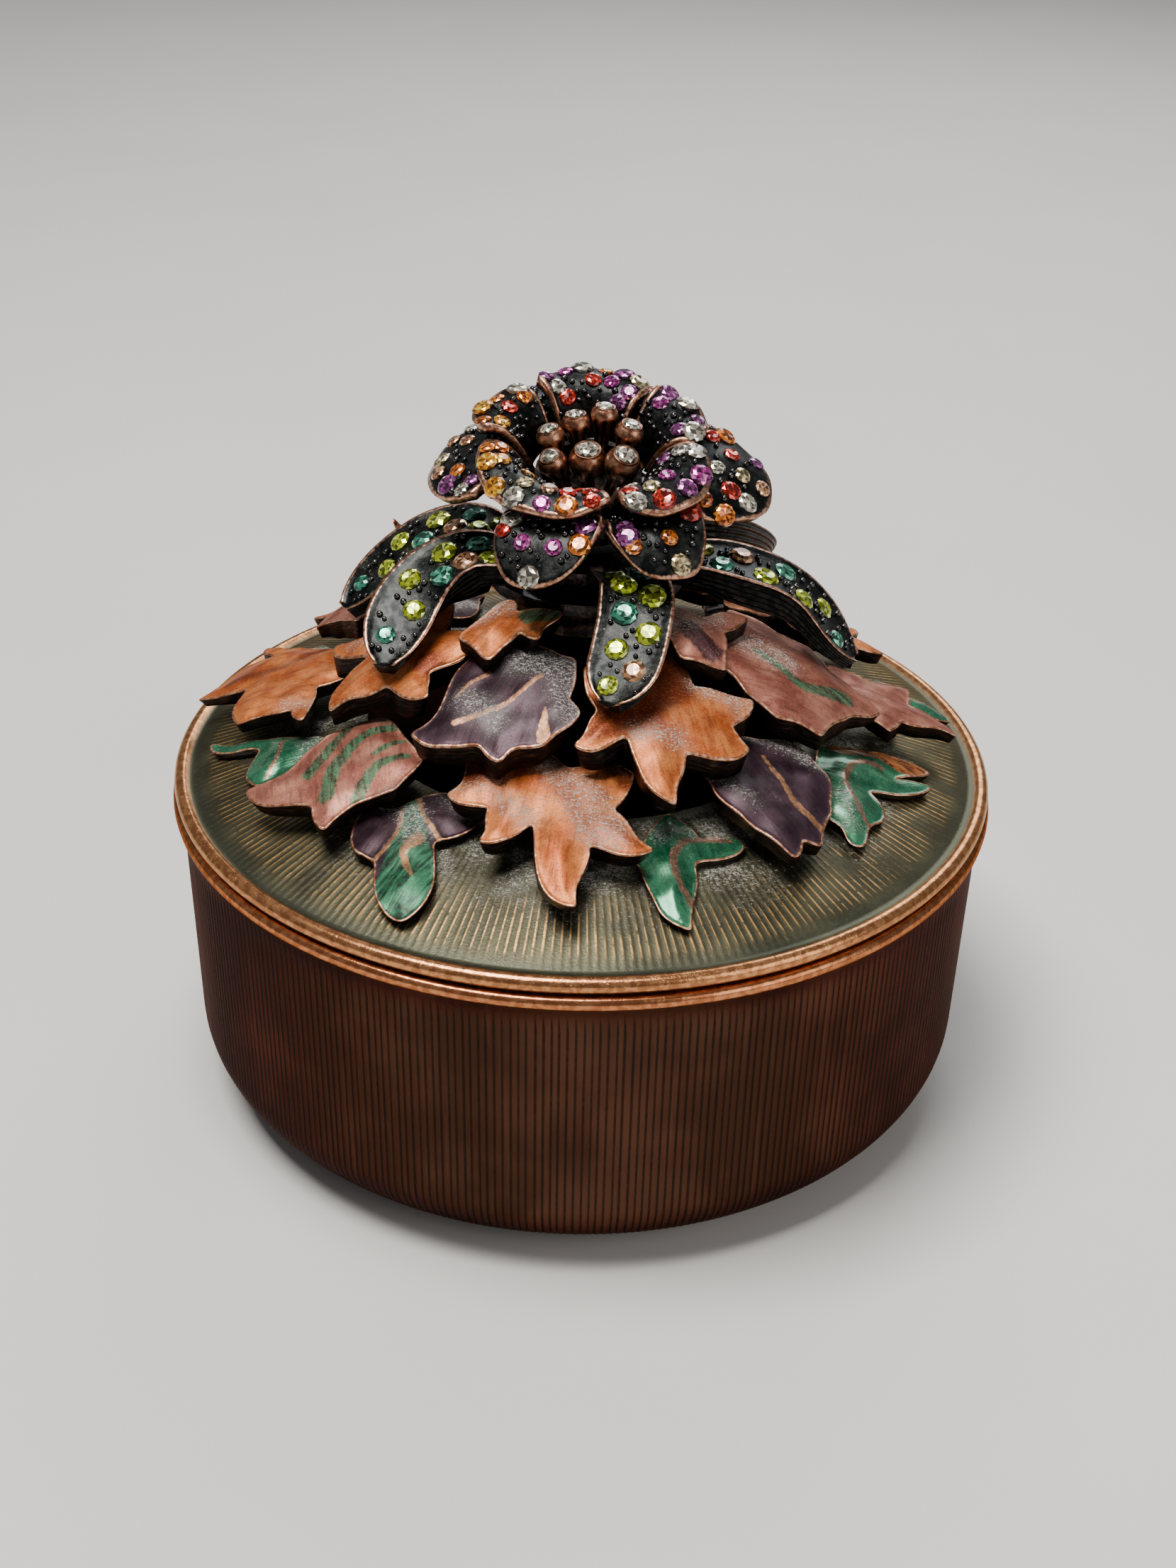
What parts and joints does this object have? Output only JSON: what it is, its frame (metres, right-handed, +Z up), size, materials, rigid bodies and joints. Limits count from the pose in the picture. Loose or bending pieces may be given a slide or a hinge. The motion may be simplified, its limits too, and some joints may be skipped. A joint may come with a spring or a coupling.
{
  "type": "trinket box",
  "caption": "Round cast-metal trinket box, fluted, with a lift-off domed lid carrying overlapping enamelled leaves, long sepals and a stone-set open flower.",
  "frame": {"origin": "centre of the flat foot, at the middle of the footprint", "axes": "+Z up, -Y the pictured front, +X to the right seen from the front"},
  "size_m": [0.1106, 0.1106, 0.0965],
  "materials": {
    "copper_patina": "satin, darkened copper plate with bright worn edges",
    "olive_patina": "satin, dark olive patina with worn copper-gold lines",
    "dark_patina": "satin, blackened plate with worn copper rims and small set stones",
    "copper": "satin copper plate, darkened in the hollows",
    "orange_enamel": "translucent burnt-orange enamel over metal",
    "pink_enamel": "translucent dusty-pink enamel over metal",
    "purple_enamel": "translucent plum enamel over metal",
    "green_enamel": "translucent green enamel over metal"
  },
  "bodies": {
    "root": {"box": "copper_patina", "collar": "dark_patina", "flower_cup": "dark_patina", "inner_petal_back": "dark_patina", "inner_petal_front_left": "dark_patina", "inner_petal_front_right": "dark_patina", "inner_petal_left": "dark_patina", "inner_petal_right": "dark_patina", "leaf_green_back": "green_enamel", "leaf_green_far_left": "green_enamel", "leaf_green_far_right": "green_enamel", "leaf_green_front_right": "green_enamel", "leaf_green_left": "green_enamel", "leaf_green_right": "green_enamel", "leaf_orange_back": "orange_enamel", "leaf_orange_back_left": "orange_enamel", "leaf_orange_back_right": "orange_enamel", "leaf_orange_front": "orange_enamel", "leaf_orange_left": "orange_enamel", "leaf_pink_back": "pink_enamel", "leaf_pink_far_right": "pink_enamel", "leaf_pink_left": "pink_enamel", "leaf_purple_back_left": "purple_enamel", "leaf_purple_back_right": "purple_enamel", "leaf_purple_front_left": "purple_enamel", "leaf_purple_right": "purple_enamel", "lid": "olive_patina", "outer_petal_back_left": "dark_patina", "outer_petal_back_right": "dark_patina", "outer_petal_front_left": "dark_patina", "outer_petal_front_right": "dark_patina", "outer_petal_left": "dark_patina", "outer_petal_right": "dark_patina", "sepal_back_left": "dark_patina", "sepal_back_right": "dark_patina", "sepal_front": "dark_patina", "sepal_front_left": "dark_patina", "sepal_left": "dark_patina", "sepal_right": "dark_patina", "small_leaf_orange_back": "orange_enamel", "small_leaf_orange_front": "orange_enamel", "small_leaf_pink_front": "pink_enamel", "small_leaf_pink_left": "pink_enamel", "stamen_back": "copper", "stamen_back_left": "copper", "stamen_back_right": "copper", "stamen_left_high": "copper", "stamen_left_low": "copper", "stamen_middle": "copper", "stamen_right": "copper", "upper_leaf_orange_back": "orange_enamel", "upper_leaf_orange_front": "orange_enamel", "upper_leaf_orange_left": "orange_enamel", "upper_leaf_orange_right": "orange_enamel", "upper_leaf_pink_back_left": "pink_enamel", "upper_leaf_pink_right": "pink_enamel", "upper_leaf_purple_back": "purple_enamel", "upper_leaf_purple_front": "purple_enamel"}
  },
  "joints": []
}
